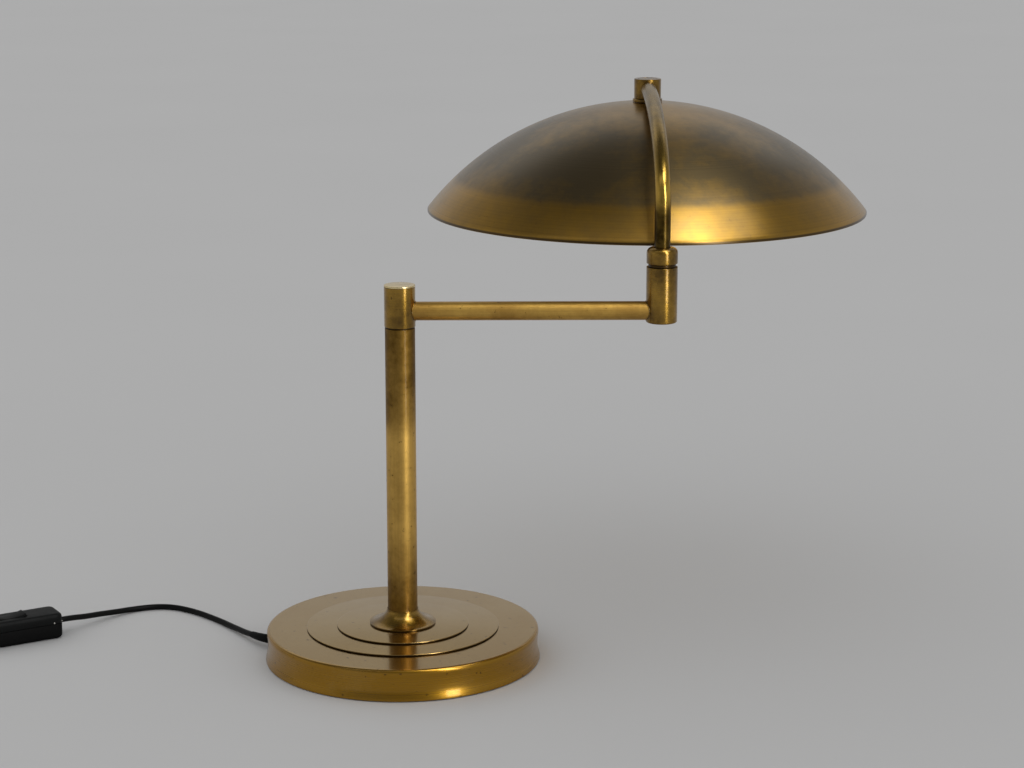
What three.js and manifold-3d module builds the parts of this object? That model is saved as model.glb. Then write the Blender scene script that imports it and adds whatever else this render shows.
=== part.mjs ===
// Brass desk lamp with a swing arm: a weighted round base, an upright stem, an arm that turns on top of
// the stem, and a bent neck that turns on the arm's end and carries a wide shallow dome.
// Millimetres, +Z up. The origin is the middle of the base's underside, and the arm points along +X.
import * as THREE from 'three';
import { mergeVertices } from 'three/addons/utils/BufferGeometryUtils.js';
import Module from 'manifold-3d';

const wasm = await Module();
wasm.setup();

// Driving dimensions ------------------------------------------------------------------------------
const GAP = 0.3; // running clearance, and the gap between pieces that touch
const ROUND = 24; // sides of an ordinary turned piece
const WIDE_ROUND = 40; // sides of the base pieces and the dome

const BASE_RADIUS = 116;
const BASE_TOP = 26.8;
const SHELL_WALL = 1.2;
const FELT_TOP = 1.6;
const BOARD_TOP = 2.8;
const OUTER_STEP = { radius: 81, top: 28.3 };
const INNER_STEP = { radius: 55.5, top: 29.9 };
const FLANGE = { radius: 27.8, lip: 1.5, top: 41.9, flare: 1.5 };

const STEM_RADIUS = 12.5;
const STEM_BORE = 11;
const STEM_TOP = 284.2;
const THREAD_RADIUS = 5; // hollow threaded rod, M10 x 1
const THREAD_BORE = 3.5;
const THREAD_HOLE = THREAD_RADIUS + GAP;

const KNUCKLE_RADIUS = 12.9;
const KNUCKLE_BORE = 9.3;
const PIVOT_RADIUS = 6;
const PIVOT_BORE = 3.6;
const PIVOT_HOLE = PIVOT_RADIUS + GAP;
const PIVOT_NUT_FLATS = 14;

const ARM_LENGTH = 215.5; // stem axis to neck axis
const ARM_HEIGHT = 298.1;
const ARM_RADIUS = 7.75;
const ARM_BORE = 6.55;
const ARM_END = 9.6; // how far the arm tube stays from each knuckle's axis
const ARM_KNUCKLE = { bottom: 285.4, top: 318.6 };
const END_KNUCKLE = { bottom: 288.4, top: 334.9 };

const COLLAR = { bottom: 337.7, shoulder: 346.4, top: 351 };
const NECK_RADIUS = 6.6;
const NECK_BORE = 5.3;
const NECK_SEAT = 342;
const NECK_BEND = 385; // the neck is straight up to here
const NECK_END = 458.7; // height at which it meets the shade knuckle
const NECK_REACH = 212; // neck axis to shade axis

const SHADE_KNUCKLE = { radius: 12, bore: 8.6, bottom: 449.9, top: 467.2 };
const SHADE_COLLAR = { radius: 13.2, bottom: 447, top: 449.6 };
const DOME = { sphere: 250.6, rim: 197, apex: 446.7, wall: 0.8, lip: 1.6 };
const HOLDER_HEIGHT = 385;
const HUB = { radius: 15, bottom: 373, top: 398 };
const HOLDER = { start: HUB.radius + GAP, shoulder: 20, end: 50, radius: 14, bore: 8.6 };
const BULB = { capStart: 30, capEnd: 52, capRadius: 7, globe: 22.5, globeCentre: 86 };

const CORD_RADIUS = 2.5;
const GLAND = { angle: 169, height: 8, reach: 117.6 };
const SWITCH = { length: 84, width: 28, split: 13.4, top: 22.5, corner: 5, wall: 2 };
const SWITCH_END = new THREE.Vector3(-302.3, 62.6, 12.2); // where the lamp's cord enters the switch
const SWITCH_ANGLE = 210;
const ROCKER = { length: 24, width: 12, axle: 19.5, crown: 24.4, tilt: 5 };
const COIL = { inner: 18.8, outer: 41.8, height: 10.2, turn: 39.3, lead: 48 };
const COIL_EXIT_ANGLE = 150;
const PLUG = { lead: 32, relief: 22, length: 37, width: 35.3, thickness: 13.7, pin: 19, pinRadius: 2, pinGap: 19 };

// Materials ---------------------------------------------------------------------------------------
const metal = (color, roughness) => new THREE.MeshStandardMaterial({ color, roughness, metalness: 1 });
const plain = (color, roughness) => new THREE.MeshStandardMaterial({ color, roughness, metalness: 0 });
const agedBrass = metal(0x9c7a3c, 0.3);
const spunBrass = metal(0x8f7850, 0.35);
const machinedBrass = metal(0xb08d4a, 0.35);
const zincPlate = metal(0xb4b4ae, 0.4);
const castIron = metal(0x3b3b3d, 0.8);
const fibreBoard = plain(0x5a4632, 0.9);
const greenFelt = plain(0x2f3b30, 0.95);
const blackPlastic = plain(0x17181a, 0.4);
const blackCord = plain(0x141414, 0.5);
const bakelite = plain(0x1e1a18, 0.35);
const opalGlass = plain(0xf2efe6, 0.2);

// Solids ------------------------------------------------------------------------------------------

// Merges shared vertices, drops faces without area and turns the faces outwards.
function closed(geometry) {
  geometry.deleteAttribute('normal');
  geometry.deleteAttribute('uv');
  const merged = mergeVertices(geometry, 1e-4);
  const place = merged.getAttribute('position');
  const corners = Array.from(merged.index.array);
  const faces = [];
  let volume = 0;
  const [a, b, c] = [new THREE.Vector3(), new THREE.Vector3(), new THREE.Vector3()];
  for (let i = 0; i < corners.length; i += 3) {
    const [ia, ib, ic] = corners.slice(i, i + 3);
    if (ia === ib || ib === ic || ic === ia) continue;
    faces.push([ia, ib, ic]);
    a.fromBufferAttribute(place, ia);
    b.fromBufferAttribute(place, ib);
    c.fromBufferAttribute(place, ic);
    volume += a.dot(b.cross(c));
  }
  merged.setIndex((volume < 0 ? faces.map(([p, q, r]) => [p, r, q]) : faces).flat());
  return merged;
}

// A turned piece from its half outline of [radius, height] points.
function turned(outline, sides = ROUND) {
  const points = outline.map(([radius, height]) => new THREE.Vector2(radius, height));
  return closed(new THREE.LatheGeometry(points, sides).rotateX(Math.PI / 2));
}

// A turned ring: its outline closes on itself.
const ring = (outline, sides = ROUND) => turned([...outline, outline[0]], sides);

const washer = (hole, radius, bottom, top, sides = ROUND) =>
  ring([[hole, bottom], [radius, bottom], [radius, top], [hole, top]], sides);

const rod = (radius, bottom, top, sides = ROUND) =>
  turned([[0, bottom], [radius, bottom], [radius, top], [0, top]], sides);

const box = (from, to) => closed(new THREE.BoxGeometry(...to.map((v, i) => v - from[i]))
  .translate(...to.map((v, i) => (v + from[i]) / 2)));

function polygon(path, radius, sides) {
  for (let i = 0; i < sides; i += 1) {
    const angle = (2 * Math.PI * i) / sides;
    const [x, y] = [radius * Math.cos(angle), radius * Math.sin(angle)];
    if (i === 0) path.moveTo(x, y);
    else path.lineTo(x, y);
  }
  path.closePath();
  return path;
}

function hexNut(flats, hole, bottom, top) {
  const shape = polygon(new THREE.Shape(), flats / Math.sqrt(3), 6);
  shape.holes.push(polygon(new THREE.Path(), hole, 24));
  return closed(new THREE.ExtrudeGeometry(shape, { depth: top - bottom, bevelEnabled: false })
    .translate(0, 0, bottom));
}

// A rod or tube along a curve.
function along(curve, steps, radius, bore = 0, sides = 8) {
  const shape = polygon(new THREE.Shape(), radius, sides);
  if (bore > 0) shape.holes.push(polygon(new THREE.Path(), bore, sides));
  return closed(new THREE.ExtrudeGeometry(shape, { steps, bevelEnabled: false, extrudePath: curve }));
}

function roundedPlate(length, width, corner, bottom, top) {
  const [x, y] = [length / 2 - corner, width / 2 - corner];
  const shape = new THREE.Shape();
  shape.absarc(x, y, corner, 0, Math.PI / 2);
  shape.absarc(-x, y, corner, Math.PI / 2, Math.PI);
  shape.absarc(-x, -y, corner, Math.PI, 1.5 * Math.PI);
  shape.absarc(x, -y, corner, 1.5 * Math.PI, 2 * Math.PI);
  const depth = top - bottom;
  return closed(new THREE.ExtrudeGeometry(shape, { depth, bevelEnabled: false, curveSegments: 3 })
    .translate(0, 0, bottom));
}

function manifold(geometry) {
  return new wasm.Manifold(new wasm.Mesh({
    numProp: 3,
    vertProperties: Float32Array.from(geometry.getAttribute('position').array),
    triVerts: Uint32Array.from(geometry.index.array),
  }));
}

function cut(geometry, ...cutters) {
  let solid = manifold(geometry);
  for (const cutter of cutters) solid = solid.subtract(manifold(cutter));
  const mesh = solid.getMesh();
  const result = new THREE.BufferGeometry();
  result.setAttribute('position', new THREE.BufferAttribute(mesh.vertProperties, 3));
  result.setIndex(Array.from(mesh.triVerts));
  return closed(result);
}

const lamp = new THREE.Group();

function add(name, geometry, material, x = 0, y = 0, z = 0) {
  const mesh = new THREE.Mesh(geometry, material);
  mesh.name = name;
  mesh.position.set(x, y, z);
  lamp.add(mesh);
  return mesh;
}

const degrees = THREE.MathUtils.degToRad;
const heading = (angle) => new THREE.Vector3(Math.cos(degrees(angle)), Math.sin(degrees(angle)), 0);

// Base: a spun shell over a cast weight, with felt underneath --------------------------------------
const glandHoleRadius = 4.4;
const glandHole = () => rod(glandHoleRadius, 100, 125, 24)
  .rotateY(Math.PI / 2).rotateZ(degrees(GLAND.angle)).translate(0, 0, GLAND.height);

// Outline of the shell's side, with its waist, moved inwards by the wall for the inner face.
const shellSide = (inset) => [
  [116, 0.8], [115.5, 3.5], [114.2, 8], [113.9, 14], [114.2, 19.5], [114.9, 23.6],
].map(([radius, height]) => [radius - inset, height]);

add('base_shell', cut(ring([
  ...shellSide(0), [114.5, 25.4], [113.5, 26.4], [112.2, BASE_TOP], [THREAD_HOLE, BASE_TOP],
  [THREAD_HOLE, BASE_TOP - SHELL_WALL], [112, BASE_TOP - SHELL_WALL], ...shellSide(SHELL_WALL).reverse(),
], WIDE_ROUND), glandHole()), spunBrass);

const counterbore = { radius: 13.5, top: 10.5 };
const channelWidth = 12;
const cordChannel = box([0, -channelWidth / 2, 0], [BASE_RADIUS, channelWidth / 2, 14])
  .rotateZ(degrees(GLAND.angle));
add('base_weight', cut(ring([
  [counterbore.radius, BOARD_TOP + GAP], [111.5, BOARD_TOP + GAP], [111.5, 22], [109, 25.3],
  [THREAD_HOLE, 25.3], [THREAD_HOLE, counterbore.top], [counterbore.radius, counterbore.top],
], WIDE_ROUND), cordChannel), castIron);
add('backing_board', rod(112.5, FELT_TOP, BOARD_TOP, WIDE_ROUND), fibreBoard);
add('felt_pad', rod(113, 0, FELT_TOP, WIDE_ROUND), greenFelt);

const stepDisc = ({ radius, top }, bottom) => ring([
  [THREAD_HOLE, bottom], [radius - 0.3, bottom], [radius, bottom + 0.3], [radius, top - 0.5],
  [radius - 0.5, top], [THREAD_HOLE, top],
], WIDE_ROUND);
add('outer_step_disc', stepDisc(OUTER_STEP, BASE_TOP), spunBrass);
add('inner_step_disc', stepDisc(INNER_STEP, OUTER_STEP.top), spunBrass);

// Trumpet flange around the stem's foot: a lip, a hollow flare and a thin bead at the top.
const flareRise = FLANGE.top - INNER_STEP.top - FLANGE.lip;
const flareInner = STEM_RADIUS + 0.7;
const flarePoint = (share) => {
  const radius = FLANGE.radius - share * (FLANGE.radius - flareInner);
  const depth = (1 - share ** FLANGE.flare) ** (1 / FLANGE.flare);
  return [radius, FLANGE.top - flareRise * depth];
};
add('stem_flange', ring([
  [STEM_RADIUS + GAP, INNER_STEP.top], [FLANGE.radius, INNER_STEP.top],
  ...[0, 0.2, 0.4, 0.6, 0.8, 0.93, 1].map(flarePoint),
  [flareInner + 0.2, FLANGE.top + 0.6], [STEM_RADIUS + GAP, FLANGE.top + 1],
]), agedBrass);

add('tie_rod', washer(THREAD_BORE, THREAD_RADIUS, 4, 270, 24), zincPlate);
add('tie_rod_nut', hexNut(17, THREAD_HOLE, 4.4, 8.6), zincPlate);
add('tie_rod_washer', washer(THREAD_HOLE, 12, 8.9, 10.2, 24), zincPlate);

// Stem, and the hollow pivot in its top -------------------------------------------------------------
add('stem_tube', washer(STEM_BORE, STEM_RADIUS, INNER_STEP.top + GAP, STEM_TOP), agedBrass);

const wireWindow = box([0, -2.6, 296.5], [8, 2.6, 304.5]);
add('stem_pivot', cut(ring([
  [THREAD_HOLE, 262], [10.7, 262], [10.7, 284.5], [12.3, 284.5], [12.3, 285.1], [PIVOT_RADIUS, 285.1],
  [PIVOT_RADIUS, 309], [PIVOT_BORE, 309], [PIVOT_BORE, 272], [THREAD_HOLE, 272],
]), wireWindow), machinedBrass);

// Arm: two knuckles joined by a tube ----------------------------------------------------------------
const armHole = (angle) => rod(ARM_RADIUS + GAP, 4, 16)
  .rotateY(Math.PI / 2).rotateZ(angle).translate(0, 0, ARM_HEIGHT);

add('arm_knuckle', cut(ring([
  [PIVOT_HOLE, ARM_KNUCKLE.bottom], [KNUCKLE_RADIUS - 0.3, ARM_KNUCKLE.bottom],
  [KNUCKLE_RADIUS, ARM_KNUCKLE.bottom + 0.3], [KNUCKLE_RADIUS, ARM_KNUCKLE.top],
  [KNUCKLE_BORE, ARM_KNUCKLE.top], [KNUCKLE_BORE, 289.2], [PIVOT_HOLE, 289.2],
]), armHole(0)), agedBrass);
add('arm_knuckle_cap', turned([
  [0, 313.6], [9, 313.6], [9, 318.8], [12.7, 318.8], [KNUCKLE_RADIUS, 319], [KNUCKLE_RADIUS, 319.9],
  [12.5, 320.2], [0, 320.5],
]), agedBrass);
add('arm_spring_washer', washer(PIVOT_HOLE, 8.8, 289.5, 290.7), zincPlate);
add('arm_lock_nut', hexNut(PIVOT_NUT_FLATS, PIVOT_HOLE, 291, 295.6), zincPlate);

add('arm_tube', washer(ARM_BORE, ARM_RADIUS, ARM_END, ARM_LENGTH - ARM_END, 24).rotateY(Math.PI / 2),
  agedBrass, 0, 0, ARM_HEIGHT);

add('end_knuckle', cut(ring([
  [KNUCKLE_BORE, END_KNUCKLE.bottom], [11.6, END_KNUCKLE.bottom], [12.5, END_KNUCKLE.bottom + 0.5],
  [KNUCKLE_RADIUS, END_KNUCKLE.bottom + 1.4], [KNUCKLE_RADIUS, END_KNUCKLE.top - 0.5],
  [12.4, END_KNUCKLE.top], [PIVOT_HOLE, END_KNUCKLE.top], [PIVOT_HOLE, 331.1], [KNUCKLE_BORE, 331.1],
]), armHole(Math.PI)), agedBrass, ARM_LENGTH);
add('end_knuckle_cap', rod(9, END_KNUCKLE.bottom, 291.4), agedBrass, ARM_LENGTH);

// Neck: a collar with a pivot below it, and a bent tube to the shade knuckle -------------------------
add('neck_bearing_washer', washer(PIVOT_HOLE, 11.4, 335.2, 337.4), machinedBrass, ARM_LENGTH);

const shoulderRise = COLLAR.top - COLLAR.shoulder;
const shoulderPoint = (angle) => [
  8.4 + (KNUCKLE_RADIUS - 8.4) * Math.cos(degrees(angle)),
  COLLAR.shoulder + shoulderRise * Math.sin(degrees(angle)),
];
add('neck_collar', ring([
  [PIVOT_BORE, 318], [PIVOT_RADIUS, 318], [PIVOT_RADIUS, COLLAR.bottom], [12.4, COLLAR.bottom],
  [KNUCKLE_RADIUS, COLLAR.bottom + 0.5], ...[0, 30, 60, 90].map(shoulderPoint),
  [NECK_RADIUS + GAP, COLLAR.top], [NECK_RADIUS + GAP, NECK_SEAT], [PIVOT_BORE, NECK_SEAT],
]), agedBrass, ARM_LENGTH);
add('neck_spring_washer', washer(PIVOT_HOLE, 8.8, 329.6, 330.8), zincPlate, ARM_LENGTH);
add('neck_lock_nut', hexNut(PIVOT_NUT_FLATS, PIVOT_HOLE, 324.6, 329.3), zincPlate, ARM_LENGTH);

// The neck's centre line: straight up, then a quarter of an ellipse over to the shade knuckle.
class NeckCurve extends THREE.Curve {
  getPoint(share, target = new THREE.Vector3()) {
    const straight = NECK_BEND - NECK_SEAT - GAP;
    const straightShare = 0.15;
    if (share < straightShare) {
      return target.set(0, 0, NECK_SEAT + GAP + (straight * share) / straightShare);
    }
    const stop = Math.acos(9 / NECK_REACH); // the tube ends inside the knuckle's wall
    const angle = (stop * (share - straightShare)) / (1 - straightShare);
    return target.set(
      0, NECK_REACH * (1 - Math.cos(angle)), NECK_BEND + (NECK_END - NECK_BEND) * Math.sin(angle));
  }
}
add('neck_tube', along(new NeckCurve(), 22, NECK_RADIUS, NECK_BORE, 12), agedBrass, ARM_LENGTH);

// Shade: knuckle, threaded nipple, collar, dome and the lamp holders below it ------------------------
const atShade = [ARM_LENGTH, NECK_REACH, 0];

const neckHole = rod(NECK_RADIUS + GAP, 4, 16)
  .rotateY(Math.PI / 2).rotateZ(-Math.PI / 2).translate(0, 0, NECK_END);
add('shade_knuckle', cut(ring([
  [THREAD_HOLE, SHADE_KNUCKLE.bottom], [11.7, SHADE_KNUCKLE.bottom],
  [SHADE_KNUCKLE.radius, SHADE_KNUCKLE.bottom + 0.3], [SHADE_KNUCKLE.radius, SHADE_KNUCKLE.top - 0.3],
  [11.7, SHADE_KNUCKLE.top], [SHADE_KNUCKLE.bore, SHADE_KNUCKLE.top], [SHADE_KNUCKLE.bore, 453.2],
  [THREAD_HOLE, 453.2],
]), neckHole), agedBrass, ...atShade);
add('shade_knuckle_cap', rod(8.3, 465.2, SHADE_KNUCKLE.top), agedBrass, ...atShade);
add('nipple_top_nut', hexNut(PIVOT_NUT_FLATS, THREAD_HOLE, 453.5, 457.4), zincPlate, ...atShade);
add('shade_nipple', washer(THREAD_BORE, THREAD_RADIUS, 389, 461, 24), zincPlate, ...atShade);
add('shade_collar', ring([
  [THREAD_HOLE, SHADE_COLLAR.bottom], [SHADE_COLLAR.radius, SHADE_COLLAR.bottom],
  [SHADE_COLLAR.radius, SHADE_COLLAR.top - 0.4], [12.8, SHADE_COLLAR.top],
  [THREAD_HOLE, SHADE_COLLAR.top],
]), agedBrass, ...atShade);

// A spherical cap with a small turned-down lip at its rim.
const domeCentre = DOME.apex - DOME.sphere;
const domeArc = (sphere, from, to, steps) => {
  const [start, stop] = [Math.asin(from / sphere), Math.asin(to / sphere)];
  return Array.from({ length: steps + 1 }, (_, i) => {
    const angle = start + ((stop - start) * i) / steps;
    return [sphere * Math.sin(angle), domeCentre + sphere * Math.cos(angle)];
  });
};
const rimHeight = domeCentre + Math.sqrt(DOME.sphere ** 2 - DOME.rim ** 2);
const lipRadius = DOME.rim - 2 * DOME.wall;
add('shade_dome', ring([
  ...domeArc(DOME.sphere, THREAD_HOLE, DOME.rim, 8),
  [DOME.rim, rimHeight - DOME.lip], [lipRadius, rimHeight - DOME.lip],
  ...domeArc(DOME.sphere - DOME.wall, THREAD_HOLE, lipRadius, 8).reverse(),
], WIDE_ROUND), spunBrass, ...atShade);

add('shade_washer', washer(THREAD_HOLE, 16, 443.6, 445, 24), zincPlate, ...atShade);
add('shade_lock_nut', hexNut(17, THREAD_HOLE, 439, 443.3), zincPlate, ...atShade);
add('holder_hub', ring([
  [THREAD_HOLE, HUB.top], [THREAD_HOLE, 388.6], [1.5, 388.6], [1.5, HUB.bottom], [12, HUB.bottom],
  [HUB.radius, HUB.bottom + 3], [HUB.radius, HUB.top - 1], [HUB.radius - 1, HUB.top],
], 24), machinedBrass, ...atShade);

const globePoint = (angle) => [
  BULB.globe * Math.sin(degrees(angle)), BULB.globeCentre - BULB.globe * Math.cos(degrees(angle)),
];
for (const [side, turn] of [['left', -Math.PI / 2], ['right', Math.PI / 2]]) {
  const sideways = (name, geometry, material) =>
    add(name, geometry.rotateY(turn), material, ARM_LENGTH, NECK_REACH, HOLDER_HEIGHT);
  sideways(`lamp_holder_${side}`, turned([
    [0, HOLDER.start], [8, HOLDER.start], [8, HOLDER.shoulder], [HOLDER.radius, HOLDER.shoulder + 2],
    [HOLDER.radius, HOLDER.end], [HOLDER.bore, HOLDER.end], [HOLDER.bore, 27], [0, 27],
  ], 24), bakelite);
  sideways(`bulb_cap_${side}`, turned([
    [0, BULB.capStart], [3, BULB.capStart], [BULB.capRadius, BULB.capStart + 3],
    [BULB.capRadius, BULB.capEnd], [0, BULB.capEnd],
  ], 16), zincPlate);
  sideways(`bulb_glass_${side}`, turned([
    [0, BULB.capEnd + GAP], [7.5, BULB.capEnd + GAP], [9, 58], ...[35, 60, 85, 110, 135, 160].map(globePoint),
    [0, BULB.globeCentre + BULB.globe],
  ], 20), opalGlass);
}

// Cord, switch and plug ------------------------------------------------------------------------------
const outwards = heading(GLAND.angle);
const glandReach = { inside: 104, flange: 116 };
add('cord_gland', turned([
  [0, glandReach.inside], [4, glandReach.inside], [4, glandReach.flange], [5.4, glandReach.flange],
  [5.4, GLAND.reach - 0.5], [4.9, GLAND.reach], [0, GLAND.reach],
], 20).rotateY(Math.PI / 2).rotateZ(degrees(GLAND.angle)), blackPlastic, 0, 0, GLAND.height);
add('gland_nut', washer(4 + GAP, 4.9, 108, 111, 20).rotateY(Math.PI / 2).rotateZ(degrees(GLAND.angle)),
  blackPlastic, 0, 0, GLAND.height);

const path = (points) => new THREE.CatmullRomCurve3(points, false, 'centripetal');
const point = (x, y, z) => new THREE.Vector3(x, y, z);

const fromGland = (distance) => outwards.clone().multiplyScalar(GLAND.reach + distance).setZ(GLAND.height);
const sleeveCurve = path([
  fromGland(GAP), fromGland(1.5), point(-120.3, 25, 7.85), point(-123.4, 27.9, 7.6), point(-125.7, 30.7, 7.3),
  point(-131.2, 38.5, 6.35),
]);
add('cord_sleeve', along(sleeveCurve, 9, 3.3, 0, 12), blackPlastic);

const switchAlong = heading(SWITCH_ANGLE);
const lampCord = [
  point(-131.75, 39.3, 6.25), point(-138, 48.4, 5.1), point(-144, 58, 4.2),
  point(-150, 67.2, 3.5), point(-161.8, 84, 2.8), point(-173.8, 98.6, 2.5), point(-185.8, 111, 2.5),
  point(-197.6, 120.6, 2.5), point(-209, 127, 2.5), point(-220.4, 129.4, 2.5), point(-232, 127.8, 2.5),
  point(-246, 121.4, 2.8), point(-260, 109.6, 4.2), point(-272, 96.6, 6.4), point(-283, 82.4, 8.9),
  point(-291, 73, 10.9), SWITCH_END.clone().addScaledVector(switchAlong, -4.5),
  SWITCH_END.clone().addScaledVector(switchAlong, -2 * GAP),
];
add('cord_lamp_to_switch', along(path(lampCord), 38, CORD_RADIUS), blackCord);

// The switch lies along its own X; rotateZ and translate take each piece to its place.
const switchMiddle = SWITCH_END.clone().addScaledVector(switchAlong, SWITCH.length / 2).setZ(0);
const atSwitch = (name, geometry, material) => add(name,
  geometry.rotateZ(degrees(SWITCH_ANGLE)).translate(...switchMiddle.toArray()), material);
const inner = { length: SWITCH.length - 2 * SWITCH.wall, width: SWITCH.width - 2 * SWITCH.wall };
const innerCorner = SWITCH.corner - SWITCH.wall;
atSwitch('switch_lower_shell', cut(
  roundedPlate(SWITCH.length, SWITCH.width, SWITCH.corner, 0, SWITCH.split),
  roundedPlate(inner.length, inner.width, innerCorner, SWITCH.wall, SWITCH.split + 1)), blackPlastic);
const windowRoom = 0.6;
atSwitch('switch_upper_shell', cut(
  roundedPlate(SWITCH.length, SWITCH.width, SWITCH.corner, SWITCH.split + GAP, SWITCH.top),
  roundedPlate(inner.length, inner.width, innerCorner, SWITCH.split - 1, SWITCH.top - SWITCH.wall),
  box([-ROCKER.length / 2 - windowRoom, -ROCKER.width / 2 - windowRoom, SWITCH.top - 4],
    [ROCKER.length / 2 + windowRoom, ROCKER.width / 2 + windowRoom, SWITCH.top + 1])), blackPlastic);
atSwitch('switch_contact_block', box([-16, -9, SWITCH.wall + GAP], [16, 9, 15]), bakelite);

// Rocker: a shallow V on top and an arc below, leaning to one side.
const rockerOutline = new THREE.Shape([
  [-ROCKER.length / 2, 1.6], [-ROCKER.length / 2, -1.4], [-6, -2], [6, -2], [ROCKER.length / 2, -1.4],
  [ROCKER.length / 2, 1.6], [ROCKER.length / 2 - 0.6, ROCKER.crown - ROCKER.axle], [0, 3.4],
  [-ROCKER.length / 2 + 0.6, ROCKER.crown - ROCKER.axle],
].map(([x, z]) => new THREE.Vector2(x, z)));
atSwitch('switch_rocker', closed(
  new THREE.ExtrudeGeometry(rockerOutline, { depth: ROCKER.width, bevelEnabled: false })
    .translate(0, 0, -ROCKER.width / 2).rotateX(Math.PI / 2))
  .rotateY(degrees(ROCKER.tilt)).translate(0, 0, ROCKER.axle), blackPlastic);

// From the switch the rest of the cord runs into a flat coil of two layers, and out of it to the plug.
const switchFar = SWITCH_END.clone().addScaledVector(switchAlong, SWITCH.length);
const rightOf = (direction) => point(direction.y, -direction.x, 0);
const coilCentre = switchFar.clone().addScaledVector(switchAlong, COIL.lead)
  .addScaledVector(rightOf(switchAlong), COIL.turn).setZ(0);
const onLead = (distance, height) => switchFar.clone().addScaledVector(switchAlong, distance).setZ(height);
add('cord_switch_to_coil', along(path([
  onLead(GAP, SWITCH_END.z), onLead(5, 11.6), onLead(12, 8.9), onLead(19, 5.4), onLead(27, 3),
]), 8, CORD_RADIUS), blackCord);
add('cord_coil', washer(COIL.inner, COIL.outer, 0, COIL.height, 36), blackCord, ...coilCentre.toArray());

const plugAlong = heading(COIL_EXIT_ANGLE - 90);
const coilExit = coilCentre.clone().addScaledVector(heading(COIL_EXIT_ANGLE), COIL.turn);
const onPlug = (distance, height) => coilExit.clone().addScaledVector(plugAlong, distance).setZ(height);
const plugHeight = PLUG.thickness / 2;
add('cord_coil_to_plug', along(path([
  onPlug(20.8, 7.2), onPlug(26, 7), onPlug(PLUG.lead - GAP, plugHeight),
]), 5, CORD_RADIUS), blackCord);

const atPlug = (name, geometry, material, distance) => add(name,
  geometry.rotateZ(degrees(COIL_EXIT_ANGLE - 90)), material, ...onPlug(distance, 0).toArray());
atPlug('plug_strain_relief', turned([
  [0, 0], [3.3, 0], [4.6, PLUG.relief - GAP], [0, PLUG.relief - GAP],
], 16).rotateY(Math.PI / 2).translate(0, 0, plugHeight), blackPlastic, PLUG.lead);
const plugOutline = new THREE.Shape([
  [0, -8], [0, 8], [12, PLUG.width / 2], [27, PLUG.width / 2], [PLUG.length, 12.5], [PLUG.length, -12.5],
  [27, -PLUG.width / 2], [12, -PLUG.width / 2],
].map(([x, y]) => new THREE.Vector2(x, y)));
atPlug('plug_body', closed(new THREE.ExtrudeGeometry(plugOutline, {
  depth: PLUG.thickness - 3, bevelSize: 1.5, bevelThickness: 1.5, bevelOffset: -1.5, bevelSegments: 1,
}).translate(0, 0, 1.5)), blackPlastic, PLUG.lead + PLUG.relief);
for (const [side, sign] of [['left', 1], ['right', -1]]) {
  atPlug(`plug_pin_${side}`, turned([
    [0, 0], [PLUG.pinRadius, 0], [PLUG.pinRadius, PLUG.pin - 1.5], [1.2, PLUG.pin], [0, PLUG.pin],
  ], 12).rotateY(Math.PI / 2).translate(0, (sign * PLUG.pinGap) / 2, plugHeight),
  zincPlate, PLUG.lead + PLUG.relief + PLUG.length + GAP);
}

export default lamp;
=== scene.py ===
"""A brass desk lamp with a swing arm, standing on a pale studio floor.

A heavy spun base carries an upright stem. An arm turns on the stem, and a bent neck turns on the arm's end
and holds a wide shallow dome. A black cord with a hand switch leaves the back of the base.
Shapes are given in millimetres and are scaled to metres when a piece is finished.
"""

import math

import bmesh
import bpy
from mathutils import Matrix, Vector


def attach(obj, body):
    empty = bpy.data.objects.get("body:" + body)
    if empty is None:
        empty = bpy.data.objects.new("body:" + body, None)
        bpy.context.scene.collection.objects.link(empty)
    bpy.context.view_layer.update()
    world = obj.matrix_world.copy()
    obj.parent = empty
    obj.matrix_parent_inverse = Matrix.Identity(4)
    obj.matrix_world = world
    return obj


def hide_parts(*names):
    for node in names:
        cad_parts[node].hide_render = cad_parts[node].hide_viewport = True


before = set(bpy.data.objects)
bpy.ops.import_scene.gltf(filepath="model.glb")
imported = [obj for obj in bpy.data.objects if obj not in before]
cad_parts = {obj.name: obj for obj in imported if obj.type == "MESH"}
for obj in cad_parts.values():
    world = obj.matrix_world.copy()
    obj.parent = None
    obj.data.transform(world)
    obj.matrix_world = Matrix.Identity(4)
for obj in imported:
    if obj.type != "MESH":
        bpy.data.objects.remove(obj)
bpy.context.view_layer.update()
MM = 0.001
GAP = 0.3  # left between pieces that touch, as in the CAD model
TURN = 2 * math.pi
UP = Vector((0, 0, 1))
X_AXIS = Matrix.Rotation(TURN / 4, 4, "Y")  # takes a piece turned about Z to the X axis


# Camera, floor and light -------------------------------------------------------------------------------

def stand_camera():
    """The camera stands in front of the lamp, a little above the shade, and looks slightly down."""
    data = bpy.data.cameras.new("camera")
    data.sensor_width = 36
    data.lens = 87.69
    camera = bpy.data.objects.new("camera", data)
    camera.location = (0.0717, -2.0153, 0.6932)
    camera.rotation_euler = (math.radians(77.227), 0, math.radians(-0.587))
    bpy.context.scene.collection.objects.link(camera)
    bpy.context.scene.camera = camera


def colour(text):
    """The linear colour of an sRGB hex value."""
    parts = [int(text[i:i + 2], 16) / 255 for i in (1, 3, 5)]
    return (*[c / 12.92 if c <= 0.04045 else ((c + 0.055) / 1.055) ** 2.4 for c in parts], 1)


def add_node(tree, kind, settings=None, inputs=None):
    """Adds a node. An input takes a value, or the socket that feeds it."""
    made = tree.nodes.new(kind)
    for name, value in (settings or {}).items():
        setattr(made, name, value)
    for name, value in (inputs or {}).items():
        if isinstance(value, bpy.types.NodeSocket):
            tree.links.new(value, made.inputs[name])
        else:
            made.inputs[name].default_value = value
    return made


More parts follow.
